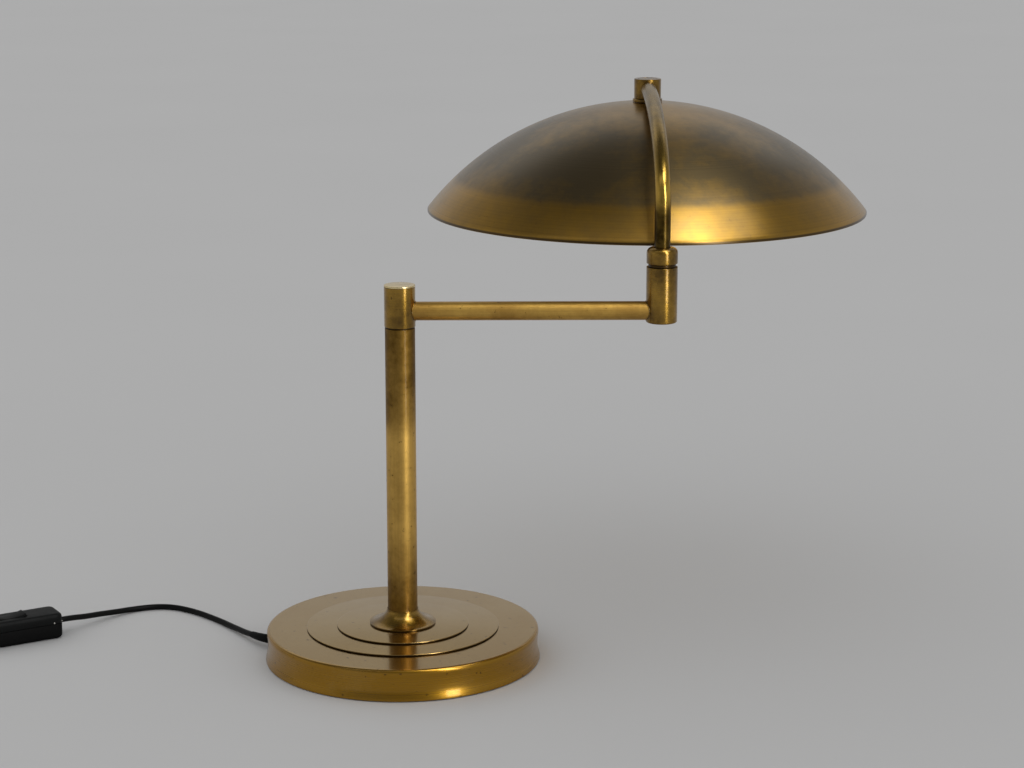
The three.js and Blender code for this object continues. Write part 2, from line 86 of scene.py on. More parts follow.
def new_material(name, **sockets):
    """A new material, its node tree, its shader and its object coordinates.

    sockets are the shader's inputs that are the same all over the surface.
    """
    material = bpy.data.materials.new(name)
    material.use_nodes = True
    tree = material.node_tree
    shader = tree.nodes["Principled BSDF"]
    for socket, value in sockets.items():
        shader.inputs[socket.replace("_", " ")].default_value = value
    place = add_node(tree, "ShaderNodeTexCoord").outputs["Object"]
    return material, tree, shader, place


def studio_floor():
    """A plain pale floor, 40 m across, that meets the room's light at the horizon."""
    bm = bmesh.new()
    bmesh.ops.create_circle(bm, cap_ends=True, segments=96, radius=20)
    mesh = bpy.data.meshes.new("studio_floor")
    bm.to_mesh(mesh)
    bm.free()
    floor = bpy.data.objects.new("studio_floor", mesh)
    bpy.context.scene.collection.objects.link(floor)
    # Matt painted board: even, with a faint unevenness in its tone.
    material, tree, shader, place = new_material("matt_painted_floor", Roughness=0.9, Specular_IOR_Level=0.0)
    cloud = add_node(tree, "ShaderNodeTexNoise", inputs={"Vector": place, "Scale": 2, "Detail": 2})
    tone = add_node(tree, "ShaderNodeMix", {"data_type": "RGBA"},
                    {0: cloud.outputs["Fac"], 6: colour("#cbcbcb"), 7: colour("#cecece")})
    tree.links.new(tone.outputs[2], shader.inputs["Base Color"])
    mesh.materials.append(material)


def room_light():
    """The room: pale round the horizon, dark overhead as a ceiling is, and dark where the camera stands."""
    world = bpy.data.worlds.new("studio_room")
    bpy.context.scene.world = world
    world.use_nodes = True
    tree = world.node_tree
    direction = add_node(tree, "ShaderNodeTexCoord").outputs["Generated"]
    parts = add_node(tree, "ShaderNodeSeparateXYZ", inputs={0: direction})
    ramp = add_node(tree, "ShaderNodeValToRGB", inputs={"Fac": parts.outputs["Z"]})
    stops = ramp.color_ramp.elements
    stops[0].position, stops[0].color = 0.0, colour("#acacac")
    stops[1].position, stops[1].color = 1.0, colour("#4a4a4a")
    for position, tone in ((0.32, "#b0b0b0"), (0.6, "#8c8c8c"), (0.85, "#585858")):
        stops.new(position).color = colour(tone)
    behind = add_node(tree, "ShaderNodeMapRange", inputs={
        "Value": parts.outputs["Y"], "From Min": -0.85, "From Max": -0.4})
    whole = add_node(tree, "ShaderNodeMix", {"data_type": "RGBA"},
                     {0: behind.outputs["Result"], 6: colour("#7a7a7a"), 7: ramp.outputs["Color"]})
    tree.links.new(whole.outputs[2], tree.nodes["Background"].inputs["Color"])


def softbox(name, middle, towards, size, radiance, shape="RECTANGLE"):
    """A soft light that shows only in reflections. radiance is in watts per square metre and steradian."""
    data = bpy.data.lights.new(name, "AREA")
    data.shape = shape
    data.size, data.size_y = size
    data.energy = math.pi * size[0] * size[1] * radiance
    light = bpy.data.objects.new(name, data)
    light.location = middle
    light.rotation_euler = (Vector(towards) - Vector(middle)).to_track_quat("-Z", "Y").to_euler()
    light.visible_camera = False
    light.visible_diffuse = False
    bpy.context.scene.collection.objects.link(light)


def studio_lights():
    """Softboxes that shine in the brass, and a soft fill from the ceiling that lights the rest evenly."""
    shade = (0.2, 0.15, 0.4)
    softbox("tall_softbox", (0.92, -1.05, 1.05), (0.1, 0, 0.3), (0.3, 1.0), 9)
    softbox("low_strip", (0.92, -1.05, 0.27), (0.1, 0, 0.27), (0.28, 0.5), 6.5)
    softbox("shade_softbox", (0.74, -0.66, 2.35), shade, (0.8, 0.8), 4.0, "ELLIPSE")
    softbox("side_softbox", (1.05, -0.35, 2.2), shade, (1.3, 0.9), 2.2, "ELLIPSE")
    softbox("front_bank", (-0.1, -0.95, 2.3), (0.15, 0.1, 0.4), (3.2, 0.6), 0.5)
    softbox("back_bank", (0.2, 2.3, 2.1), (0.2, 0.2, 0.4), (3.2, 1.2), 0.42)
    data = bpy.data.lights.new("ceiling_fill", "SUN")
    data.angle = math.radians(150)
    data.energy = 1.52
    fill = bpy.data.objects.new("ceiling_fill", data)
    fill.rotation_euler = (math.radians(8), math.radians(-6), 0)
    fill.visible_glossy = False
    bpy.context.scene.collection.objects.link(fill)


stand_camera()
studio_floor()
room_light()
studio_lights()
bpy.context.scene.view_settings.view_transform = "Standard"


# Materials ---------------------------------------------------------------------------------------------

def height_share(tree, place, bands):
    """How far the brass goes toward its dark tone at each height, from (height in mm, share) pairs."""
    low, high = bands[0][0], bands[-1][0]
    height = add_node(tree, "ShaderNodeSeparateXYZ", inputs={0: place}).outputs["Z"]
    along = add_node(tree, "ShaderNodeMapRange",
                     inputs={"Value": height, "From Min": low * MM, "From Max": high * MM})
    ramp = add_node(tree, "ShaderNodeValToRGB", inputs={"Fac": along.outputs["Result"]})
    ramp.color_ramp.interpolation = "EASE"
    stops = ramp.color_ramp.elements
    stops[0].color = (*[bands[0][1]] * 3, 1)
    stops[1].color = (*[bands[-1][1]] * 3, 1)
    for height_mm, share in bands[1:-1]:
        stops.new((height_mm - low) / (high - low)).color = (share, share, share, 1)
    return ramp.outputs["Color"]


def tone_share(tree, place, bands, cloud_mm, mottle):
    """How far the brass goes toward its dark tone: by height, with broad clouds and a mottle a seventh of
    their size.
    """
    cloud = add_node(tree, "ShaderNodeTexNoise", inputs={
        "Vector": place, "Scale": 1 / (cloud_mm * MM), "Detail": 3, "Roughness": 0.55})
    fine = add_node(tree, "ShaderNodeTexNoise", inputs={
        "Vector": place, "Scale": 7 / (cloud_mm * MM), "Detail": 4, "Roughness": 0.65})
    both = add_node(tree, "ShaderNodeMix", {"data_type": "FLOAT"},
                    {0: 0.3, 2: cloud.outputs["Fac"], 3: fine.outputs["Fac"]})
    swing = add_node(tree, "ShaderNodeMapRange", inputs={
        "Value": both.outputs[0], "From Min": 0.35, "From Max": 0.65,
        "To Min": -mottle / 2, "To Max": mottle / 2})
    share = add_node(tree, "ShaderNodeMath", {"operation": "ADD", "use_clamp": True},
                     {0: height_share(tree, place, bands), 1: swing.outputs["Result"]})
    return share.outputs[0]


def making_lines(tree, place, marks, centre):
    """The fine lines left by drawing, turning or spinning. brass() explains marks and centre."""
    if centre is None:
        stretched = add_node(tree, "ShaderNodeMapping",
                             inputs={"Vector": place, "Scale": [1 / (m * MM) for m in marks]})
        lines = add_node(tree, "ShaderNodeTexNoise",
                         inputs={"Vector": stretched.outputs[0], "Scale": 1, "Detail": 3, "Roughness": 0.7})
    else:
        level_place = add_node(tree, "ShaderNodeMapping", inputs={
            "Vector": place, "Location": (-centre[0] * MM, -centre[1] * MM, 0), "Scale": (1, 1, 0)})
        radius = add_node(tree, "ShaderNodeVectorMath", {"operation": "LENGTH"}, {0: level_place.outputs[0]})
        height = add_node(tree, "ShaderNodeSeparateXYZ", inputs={0: place}).outputs["Z"]
        ring = add_node(tree, "ShaderNodeMath", {"operation": "SUBTRACT"},
                        {0: radius.outputs["Value"], 1: height})
        lines = add_node(tree, "ShaderNodeTexNoise", {"noise_dimensions": "1D"}, {
            "W": ring.outputs[0], "Scale": 1 / (marks * MM), "Detail": 4, "Roughness": 0.75})
    return lines.outputs["Fac"]


def brass(name, light_tone, dark_tone, roughness, bands, marks, cloud_mm=50, mottle=0.7, centre=None,
          spread=0.0, coat=0.15, coat_roughness=0.1, painted_shade_height=None, depth=1.0, specks=0.7):
    """Brass under old clear lacquer: warm and mirror-like where it was handled, brown and duller between.

    bands are (height in mm, share of the dark tone) pairs; on some pieces they are partly painted shade and
    painted highlight. marks is the spacing in mm, along X, Y and Z, of the fine lines that its making left.
    With a centre, the lines are rings about that upright axis, and marks is their spacing. depth is how
    strongly the lines show. spread is how far rings about a piece's own axis draw a reflection out across
    them.
    painted_shade_height is the height in mm below which an edge is painted dark as shade. specks is how dark
    the spots are where the lacquer has let go.
    """
    material, tree, shader, place = new_material(
        name, Metallic=1.0, Coat_Weight=coat, Coat_Roughness=coat_roughness, Coat_IOR=1.5, Anisotropic=spread,
        Anisotropic_Rotation=0.25)
    share = tone_share(tree, place, bands, cloud_mm, mottle)
    lines = making_lines(tree, place, marks, centre)
    if spread:
        around = add_node(tree, "ShaderNodeTangent", {"direction_type": "RADIAL", "axis": "Z"})
        tree.links.new(around.outputs["Tangent"], shader.inputs["Tangent"])
    toned = add_node(tree, "ShaderNodeMix", {"data_type": "RGBA"},
                     {0: share, 6: colour(light_tone), 7: colour(dark_tone)})
    lined = add_node(tree, "ShaderNodeMapRange", inputs={
        "Value": lines, "From Min": 0.3, "From Max": 0.7,
        "To Min": 1 - 0.14 * depth, "To Max": 1 + 0.06 * depth})
    streaked = add_node(tree, "ShaderNodeVectorMath", {"operation": "SCALE"},
                        {0: toned.outputs[2], "Scale": lined.outputs["Result"]})
    # Small brown specks, from a noise of 4 mm, of which only the few highest peaks show.
    spots = add_node(tree, "ShaderNodeTexNoise", inputs={
        "Vector": place, "Scale": 1 / (4 * MM), "Detail": 2, "Roughness": 0.5})
    spotted = add_node(tree, "ShaderNodeMapRange", inputs={
        "Value": spots.outputs["Fac"], "From Min": 0.69, "From Max": 0.74, "To Max": specks})
    final = add_node(tree, "ShaderNodeMix", {"data_type": "RGBA"},
                     {0: spotted.outputs["Result"], 6: streaked.outputs[0], 7: colour("#4a3413")})
    # A dark line along an edge below a height, painted as shade.
    if painted_shade_height:
        height = add_node(tree, "ShaderNodeSeparateXYZ", inputs={0: place}).outputs["Z"]
        painted_shade_mask = add_node(tree, "ShaderNodeMapRange", inputs={
            "Value": height, "From Min": painted_shade_height * MM, "From Max": (painted_shade_height + 1) * MM,
            "To Min": 0.85, "To Max": 0})
        final = add_node(tree, "ShaderNodeMix", {"data_type": "RGBA"},
                         {0: painted_shade_mask.outputs["Result"], 6: final.outputs[2], 7: colour("#241a0a")})
    tree.links.new(final.outputs[2], shader.inputs["Base Color"])
    # The share of the dark tone dulls the gloss, and the lines break it up.
    duller = add_node(tree, "ShaderNodeMapRange", inputs={
        "Value": share, "To Min": roughness - 0.03, "To Max": roughness + 0.09})
    uneven = add_node(tree, "ShaderNodeMapRange", inputs={
        "Value": lines, "From Min": 0.3, "From Max": 0.7, "To Min": -0.03, "To Max": 0.03})
    rough = add_node(tree, "ShaderNodeMath", {"operation": "ADD"},
                     {0: duller.outputs["Result"], 1: uneven.outputs["Result"]})
    tree.links.new(rough.outputs[0], shader.inputs["Roughness"])
    bump = add_node(tree, "ShaderNodeBump", inputs={
        "Height": lines, "Strength": 0.25 * depth, "Distance": 0.05 * MM})
    tree.links.new(bump.outputs["Normal"], shader.inputs["Normal"])
    return material


def moulded(name, light, dark, roughness, grain_mm, depth_mm, **sockets):
    """A moulded or pressed stuff with a fine grain and a slight unevenness in its tone and gloss."""
    material, tree, shader, place = new_material(name, **sockets)
    grain = add_node(tree, "ShaderNodeTexNoise", inputs={
        "Vector": place, "Scale": 1 / (grain_mm * MM), "Detail": 3, "Roughness": 0.6})
    cloud = add_node(tree, "ShaderNodeTexNoise", inputs={
        "Vector": place, "Scale": 1 / (20 * MM), "Detail": 3, "Roughness": 0.6})
    share = add_node(tree, "ShaderNodeMix", {"data_type": "FLOAT"},
                     {0: 0.5, 2: grain.outputs["Fac"], 3: cloud.outputs["Fac"]})
    tone = add_node(tree, "ShaderNodeMix", {"data_type": "RGBA"},
                    {0: share.outputs[0], 6: colour(dark), 7: colour(light)})
    tree.links.new(tone.outputs[2], shader.inputs["Base Color"])
    rough = add_node(tree, "ShaderNodeMapRange", inputs={
        "Value": cloud.outputs["Fac"], "From Min": 0.3, "From Max": 0.7,
        "To Min": roughness - 0.06, "To Max": roughness + 0.06})
    tree.links.new(rough.outputs["Result"], shader.inputs["Roughness"])
    bump = add_node(tree, "ShaderNodeBump", inputs={
        "Height": grain.outputs["Fac"], "Strength": 0.6, "Distance": depth_mm * MM})
    tree.links.new(bump.outputs["Normal"], shader.inputs["Normal"])
    return material


ARM_LENGTH, NECK_REACH = 215.5, 212  # along X to the neck's axis, then along Y to the shade's axis

# Drawn brass tube, lacquered: lengthwise lines 0.5 mm apart. The stem is darkest near its top and its foot,
# and lighter in the middle.
STEM_BRASS = brass(
    "lacquered_brass_stem", "#d2a856", "#6a4d15", 0.42,
    [(30, 1.0), (62, 0.7), (115, 0.1), (190, 0.05), (212, 0.7), (284, 0.95)], (0.5, 0.5, 60),
    cloud_mm=28, mottle=0.45)
ARM_BRASS = brass(
    "lacquered_brass_arm", "#c9a150", "#86612a", 0.46, [(280, 0.2), (320, 0.2)], (60, 0.5, 0.5), cloud_mm=34)
# The neck's straight foot takes the darkest tone as painted shade, and the stretch just above its bend a
# bright one as a painted highlight.
NECK_BRASS = brass(
    "lacquered_brass_neck", "#d6ae50", "#342606", 0.22,
    [(340, 1.0), (376, 1.0), (395, 0.15), (425, 0.5), (460, 0.7)], (0.6, 30, 30),
    cloud_mm=30, mottle=0.3, coat=0.08)
# Turned brass: lines run round the piece, 0.4 mm apart. The flange's foot is painted dark as shade.
TURNED_BRASS = brass(
    "lacquered_turned_brass", "#cca040", "#46300a", 0.24, [(20, 0.55), (470, 0.7)], (40, 40, 0.4),
    cloud_mm=24, mottle=0.5, spread=0.5, coat=0.4, painted_shade_height=30.6, depth=0.4)
# Sheet brass spun over a former, its rings drawn 1.2 mm apart so that they show. The base's side takes the
# darker tone as painted shade, and its top the paler one as a painted pale reflection.
SPUN_BRASS = brass(
    "spun_brass_base", "#ba9c62", "#a4791e", 0.2, [(0, 1.0), (24, 1.0), (26.2, 0.9), (27, 0.1)], 1.2,
    cloud_mm=60, mottle=0.28, centre=(0, 0), spread=0.4, coat=0.35, coat_roughness=0.05, depth=0.35)
# The shade is the same sheet, browned to a dull bronze above a bright band at the rim. The band is partly
# kept bright by handling and partly a painted reflection, its sharp upper edge standing for a reflected
# horizon. The dark line along the rim's lip is painted shade.
SHADE_BRASS = brass(
    "bronzed_spun_brass", "#b0862a", "#665739", 0.33,
    [(349, 0.1), (374, 0.2), (382, 0.85), (400, 1.0), (425, 0.85), (447, 0.4)], 2.4,
    cloud_mm=70, mottle=0.55, centre=(ARM_LENGTH, NECK_REACH), spread=0.45, coat=0.45, coat_roughness=0.25,
    painted_shade_height=351.2, specks=0.2)
# The stem knuckle's lid takes a pale tone as a painted highlight.
LID_HIGHLIGHT_BRASS = brass(
    "painted_highlight_lid_brass", "#f2dca4", "#ccaa66", 0.3, [(300, 0.1), (470, 0.6)], (30, 30, 0.4),
    cloud_mm=12, coat=0.5)
# The edges and undersides of the base's steps are painted dark as shade.
STEP_SHADE_BRASS = brass("painted_shade_edge_brass", "#4a3510", "#241a08", 0.4, [(26, 0.5), (30, 0.5)], (3, 3, 3))
# Brass as it left the lathe, where nobody touches it: paler, with lines round it 0.3 mm apart.
MACHINED_BRASS = brass("machined_brass", "#c8a055", "#a07c3a", 0.28, [(0, 0.3), (470, 0.3)], (20, 20, 0.3))
# The faces that run on each other in the joints are dark with old oil.
OILED_BRASS = brass("oiled_brass", "#4c3817", "#2a1d0c", 0.35, [(0, 0.5), (470, 0.5)], (20, 20, 0.3))

# Zinc-plated steel: a dull silver, slightly blotched by the passivation.
ZINC = moulded("zinc_plated_steel", "#c0c0b8", "#9c9c96", 0.38, 1.5, 0.02, Metallic=1.0)
# Nickel-plated brass pins, bright and lightly scuffed.
NICKEL = moulded("nickel_plated_brass", "#d2cfc8", "#b8b5ae", 0.22, 0.8, 0.01, Metallic=1.0)
# Grey iron as it left the sand, with a grain of about 1.2 mm.
IRON = moulded("sand_cast_iron", "#4c4b4a", "#2c2b2b", 0.75, 1.2, 0.3, Metallic=0.8)
# Pressed fibre board, brown, matt and slightly hairy.
BOARD = moulded("pressed_fibre_board", "#6b5238", "#4d3a28", 0.9, 0.6, 0.1)
# Wool felt, dark green, with a nap 0.7 mm deep.
FELT = moulded("wool_felt", "#3c4a3c", "#222c24", 0.95, 0.7, 0.35, Sheen_Weight=0.4, Sheen_Roughness=0.5)
# ABS, moulded in a spark-eroded tool: a satin black with a fine grain, drawn 0.5 mm wide so that it shows.
BLACK_ABS = moulded("black_abs_satin", "#1d1e1e", "#121313", 0.45, 0.5, 0.03, Specular_IOR_Level=0.08)
# The switch's lower half and the gland are the same plastic, a little darker and less glossy.
DARK_ABS = moulded("black_abs_matt", "#161616", "#101010", 0.55, 0.5, 0.03, Specular_IOR_Level=0.05)
# PVC cord sheath, extruded: smooth, satin, with a faint unevenness along it.
SHEATH = moulded("black_pvc_sheath", "#151514", "#0b0b0b", 0.45, 2.5, 0.05, Specular_IOR_Level=0.1)
# Phenolic moulding: near black, brownish and glossy.
PHENOLIC = moulded("phenolic_moulding", "#2a211c", "#1a1412", 0.28, 3, 0.02)
# Opal glass: white through its thickness, with a wet gloss.
OPAL = moulded("opal_glass", "#f4f1e8", "#ebe7dc", 0.14, 8, 0.01, Subsurface_Weight=0.3,
               Subsurface_Scale=0.004, Coat_Weight=0.4)


# Ways of making a piece --------------------------------------------------------------------------------

def finish_piece(bm, name, material, body, slot, *nodes, sharp=35, second=None, second_below=0):
    """Makes the mesh a piece that rides on a body and stands for its CAD nodes.

    Edges sharper than sharp degrees stay crisp. Faces whose normals have an upward share below second_below
    take the second material: a dome's inside, or a plate's edge and underside, painted dark as shade.
    """
    bmesh.ops.remove_doubles(bm, verts=bm.verts, dist=0.002)
    bmesh.ops.recalc_face_normals(bm, faces=bm.faces)
    if second:
        for face in bm.faces:
            face.material_index = int(face.normal.z < second_below)
    bmesh.ops.scale(bm, vec=(MM, MM, MM), verts=bm.verts)
    mesh = bpy.data.meshes.new(name)
    bm.to_mesh(mesh)
    bm.free()
    mesh.materials.append(material)
    if second:
        mesh.materials.append(second)
    mesh.shade_smooth()
    mesh.set_sharp_from_angle(angle=math.radians(sharp))
    piece = bpy.data.objects.new(name, mesh)
    bpy.context.scene.collection.objects.link(piece)
    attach(piece, body)
    if nodes:
        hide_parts(*nodes)
    return piece


def spin_outline(outline, steps=96, ring=False, rounding=5):
    """Spins a half outline of (radius, height) or (radius, height, rounding) points about the Z axis.

    A ring's outline is joined up. One that isn't a ring starts and ends on the axis.
    """
    bm = bmesh.new()
    points = [bm.verts.new((p[0], 0, p[1])) for p in outline]
    following = points[1:] + (points[:1] if ring else [])
    for a, b in zip(points, following):
        bm.edges.new((a, b))
    for size in sorted({p[2] for p in outline if len(p) > 2}):
        corners = [v for v, p in zip(points, outline) if len(p) > 2 and p[2] == size]
        bmesh.ops.bevel(bm, geom=corners, offset=size, offset_type="OFFSET", segments=rounding, profile=0.5,
                        affect="VERTICES", material=-1, clamp_overlap=True)
    bmesh.ops.spin(bm, geom=bm.verts[:] + bm.edges[:], cent=(0, 0, 0), axis=UP, angle=TURN, steps=steps,
                   use_merge=True, use_duplicate=False)
    return bm


def round_edges(bm, edges, size, segments):
    """Rounds the edges off by this size, in this many strips."""
    bmesh.ops.bevel(bm, geom=edges, offset=size, offset_type="OFFSET", segments=segments, profile=0.5,
                    affect="EDGES", material=-1, clamp_overlap=True)


def rod_along(points, radius, sides=32):
    """A closed rod of round section along a line of points. radius is a number, or one for each point."""
    radii = radius if isinstance(radius, list) else [radius] * len(points)
    frames = []
    side = None
    for i, point in enumerate(points):
        ahead = (points[min(i + 1, len(points) - 1)] - points[max(i - 1, 0)]).normalized()
        if side is None:
            side = ahead.orthogonal().normalized()
        side = (side - ahead * side.dot(ahead)).normalized()
        turn = Matrix((side, ahead.cross(side), ahead)).transposed().to_4x4()
        frames.append(Matrix.Translation(point) @ turn @ Matrix.Diagonal((radii[i], radii[i], 1, 1)))
    bm = bmesh.new()
    bmesh.ops.create_circle(bm, cap_ends=True, segments=sides, radius=1)
    bmesh.ops.transform(bm, matrix=frames[0], verts=bm.verts)
    edges = bm.edges[:]
    for a, b in zip(frames, frames[1:]):
        grown = bmesh.ops.extrude_edge_only(bm, edges=edges)["geom"]
        ends = [v for v in grown if isinstance(v, bmesh.types.BMVert)]
        bmesh.ops.transform(bm, matrix=b @ a.inverted(), verts=ends)
        edges = [e for e in grown if isinstance(e, bmesh.types.BMEdge) and len(e.link_faces) == 1]
    bmesh.ops.edgeloop_fill(bm, edges=edges)
    return bm


def block(size, middle, corner):
    """A box with its upright edges rounded by corner."""
    bm = bmesh.new()
    bmesh.ops.create_cube(bm, size=1)
    bmesh.ops.scale(bm, vec=size, verts=bm.verts)
    upright = [e for e in bm.edges if abs((e.verts[0].co - e.verts[1].co).z) > size[2] * 0.9]
    round_edges(bm, upright, corner, 6)
    bmesh.ops.translate(bm, vec=middle, verts=bm.verts)
    return bm


def pushed_out(corners, shift):
    """The solid that a flat face with these corners sweeps when it is pushed by the shift."""
    bm = bmesh.new()
    face = bm.faces.new([bm.verts.new(corner) for corner in corners])
    grown = bmesh.ops.extrude_face_region(bm, geom=[face])["geom"]
    bmesh.ops.translate(bm, vec=shift, verts=[v for v in grown if isinstance(v, bmesh.types.BMVert)])
    return bm


def carve(piece, cutter_bm):
    """Cuts the cutter, given in millimetres, out of the piece and leaves a plain mesh."""
    bmesh.ops.scale(cutter_bm, vec=(MM, MM, MM), verts=cutter_bm.verts)
    mesh = bpy.data.meshes.new("cutter")
    cutter_bm.to_mesh(mesh)
    cutter_bm.free()
    cutter = bpy.data.objects.new("cutter", mesh)
    bpy.context.scene.collection.objects.link(cutter)
    cut = piece.modifiers.new("cut", "BOOLEAN")
    cut.operation, cut.solver, cut.object = "DIFFERENCE", "EXACT", cutter
    carved = bpy.data.meshes.new_from_object(piece.evaluated_get(bpy.context.evaluated_depsgraph_get()))
    piece.modifiers.clear()
    piece.data = carved
    carved.set_sharp_from_angle(angle=math.radians(35))
    bpy.data.objects.remove(cutter)


def moved(bm, *steps):
    """Turns and moves a mesh by the given matrices, in order."""
    for step in steps:
        bmesh.ops.transform(bm, matrix=step, verts=bm.verts)
    return bm


def heading(angle):
    """The level direction at this many degrees from X."""
    return Vector((math.cos(math.radians(angle)), math.sin(math.radians(angle)), 0))


def turned_by(angle):
    """A turn about the Z axis, in degrees."""
    return Matrix.Rotation(math.radians(angle), 4, "Z")


def raised(height):
    """A move straight up."""
    return Matrix.Translation((0, 0, height))


def level(point, height):
    """The point straight above or below this one at a height."""
    return Vector((point.x, point.y, height))


# Cords -------------------------------------------------------------------------------------------------

CORD_RADIUS = 2.5
GLAND_ANGLE, GLAND_HEIGHT, GLAND_REACH = 169, 8, 117.6
SWITCH_ANGLE = 210
SWITCH_LENGTH, SWITCH_WIDTH, SWITCH_TOP, SWITCH_SPLIT = 84, 28, 22.5, 13.4
SWITCH_MOUTH = 12.2  # height of the cord in the switch's two ends
SWITCH_START = Vector((-302.3, 62.6, SWITCH_MOUTH))
SWITCH_ALONG = heading(SWITCH_ANGLE)
SWITCH_END = SWITCH_START + SWITCH_ALONG * SWITCH_LENGTH
COIL_TURN = 39.3  # radius of the outermost turn
COIL_LEAD = 48  # straight cord between the switch and the coil
COIL_PITCH = 5.14  # from one turn to the next
COIL_LAYERS = (2.5, 7.6)  # heights of the turns on the floor and of those that lie on them
COIL_START_ANGLE, COIL_EXIT_ANGLE = 300, 150
STEPS_A_TURN = 16
STRAIGHT_START = 0.2  # turns before the winding starts to close in
INWARD_TURNS = 3.5
CLIMB_TURNS = 0.5  # turns that the climb to the upper layer takes
WHOLE_TURNS = 2 * INWARD_TURNS + (COIL_START_ANGLE - COIL_EXIT_ANGLE) / 360
PLUG_LEAD = 32  # from the coil to the plug's strain relief
PLUG_ALONG = heading(COIL_EXIT_ANGLE - 90)
PLUG_HEIGHT = 6.85


def cord_curve(name, points, body):
    """A round cord through the points, as a curve that rides on a body."""
    data = bpy.data.curves.new(name, "CURVE")
    data.dimensions = "3D"
    data.resolution_u = 6
    data.bevel_depth = CORD_RADIUS * MM
    data.bevel_resolution = 5
    data.use_fill_caps = True
    spline = data.splines.new("BEZIER")
    spline.bezier_points.add(len(points) - 1)
    for knot, point in zip(spline.bezier_points, points):
        knot.co = Vector(point) * MM
        knot.handle_left_type = knot.handle_right_type = "AUTO"
    data.materials.append(SHEATH)
    cord = bpy.data.objects.new(name, data)
    bpy.context.scene.collection.objects.link(cord)
    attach(cord, body)
    return cord


gland_tip = level(heading(GLAND_ANGLE) * (GLAND_REACH + GAP), GLAND_HEIGHT)
sleeve_path = [gland_tip, level(heading(GLAND_ANGLE) * (GLAND_REACH + 1.5), GLAND_HEIGHT),
               Vector((-120.3, 25, 7.85)), Vector((-123.4, 27.9, 7.6)), Vector((-125.7, 30.7, 7.3)),
               Vector((-128.5, 34.6, 6.85)), Vector((-131.2, 38.5, 6.35))]
lamp_cord_path = [*sleeve_path, (-138, 48.4, 5.1), (-144, 58, 4.2), (-150, 67.2, 3.5), (-161.8, 84, 2.8),
                  (-173.8, 98.6, 2.5), (-185.8, 111, 2.5), (-197.6, 120.6, 2.5), (-209, 127, 2.5),
                  (-220.4, 129.4, 2.5), (-232, 127.8, 2.5), (-246, 121.4, 2.8), (-260, 109.6, 4.2),
                  (-272, 96.6, 6.4), (-283, 82.4, 8.9), (-291, 73, 10.9), SWITCH_START - SWITCH_ALONG * 4.5,
                  SWITCH_START - SWITCH_ALONG * 0.6]
lamp_cord = cord_curve("lamp_cord", lamp_cord_path, "base")
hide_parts("cord_lamp_to_switch")

# The lead winds inwards on the floor, climbs on itself and winds outwards again, then runs to the plug.
coil_inwards = Vector((SWITCH_ALONG.y, -SWITCH_ALONG.x, 0))
coil_middle = level(SWITCH_END + SWITCH_ALONG * COIL_LEAD + coil_inwards * COIL_TURN, 0)
coil_exit = coil_middle + heading(COIL_EXIT_ANGLE) * COIL_TURN


def coil_point(turns):
    """A point of the winding, clockwise from above, after that many turns."""
    wound = abs(turns - STRAIGHT_START - INWARD_TURNS)
    radius = COIL_TURN - COIL_PITCH * max(0, INWARD_TURNS - wound)
    climb = min(max((turns - STRAIGHT_START - INWARD_TURNS) / CLIMB_TURNS + 0.5, 0), 1)
    height = COIL_LAYERS[0] + (COIL_LAYERS[1] - COIL_LAYERS[0]) * climb * climb * (3 - 2 * climb)
    return level(coil_middle + heading(COIL_START_ANGLE - 360 * turns) * radius, height)


lead_path = [level(SWITCH_END + SWITCH_ALONG * far, height) for far, height in (
    (GAP, SWITCH_MOUTH), (5, 11.6), (12, 8.9), (19, 5.4), (27, 3), (COIL_LEAD - 9, CORD_RADIUS),
    (COIL_LEAD, CORD_RADIUS))]
lead_path += [coil_point(i / STEPS_A_TURN) for i in range(1, int(WHOLE_TURNS * STEPS_A_TURN))]
lead_path += [level(coil_exit + PLUG_ALONG * far, height) for far, height in (
    (0, COIL_LAYERS[1]), (10, 7.5), (20.8, 7.2), (26, 7), (PLUG_LEAD - GAP, PLUG_HEIGHT))]
plug_lead = cord_curve("plug_lead", lead_path, "base")
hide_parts("cord_switch_to_coil", "cord_coil", "cord_coil_to_plug")


# Base --------------------------------------------------------------------------------------------------

THREAD_HOLE = 5.3  # clears the threaded tubes that hold the base and the shade together
BASE_TOP, SHELL_WALL = 26.8, 1.2
OUTER_STEP_TOP, INNER_STEP_TOP = 28.3, 29.9
FELT_RADIUS, FELT_TOP = 113, 1.6
shell_side = [(116, 0.8, 0.4), (115.5, 3.5, 1.2), (114.2, 8, 2), (113.9, 14, 2.5), (114.2, 19.5, 2),
              (114.9, 23.7, 1.2), (114.3, 25.9, 1), (112.4, BASE_TOP, 0.9)]
inner_side = [(radius - SHELL_WALL, height) for radius, height, _ in shell_side[:6]]
shell = [*shell_side, (THREAD_HOLE, BASE_TOP), (THREAD_HOLE, BASE_TOP - SHELL_WALL),
         (112, BASE_TOP - SHELL_WALL), *reversed(inner_side)]
finish_piece(spin_outline(shell, 192, ring=True), "spun_base_shell", SPUN_BRASS, "base", "spun_brass",
             "base_shell")


def step_plate(name, node, radius, bottom, top):
    """A spun plate on the base, its edge painted dark as shade."""
    outline = [(THREAD_HOLE, bottom), (radius - 0.4, bottom, 0.2), (radius, bottom + 0.4, 0.2),
               (radius, top, 0.5), (THREAD_HOLE, top)]
    finish_piece(spin_outline(outline, 160, ring=True), name, SPUN_BRASS, "base", "spun_brass", node,
                 second=STEP_SHADE_BRASS, second_below=0.3)


step_plate("outer_step_plate", "outer_step_disc", 81, BASE_TOP, OUTER_STEP_TOP)
step_plate("inner_step_plate", "inner_step_disc", 55.5, OUTER_STEP_TOP, INNER_STEP_TOP)
felt = [(0, 0), (FELT_RADIUS, 0, 0.3), (FELT_RADIUS, FELT_TOP, 0.6), (0, FELT_TOP)]
finish_piece(spin_outline(felt, 128), "felt_sole", FELT, "base", "green_felt", "felt_pad")

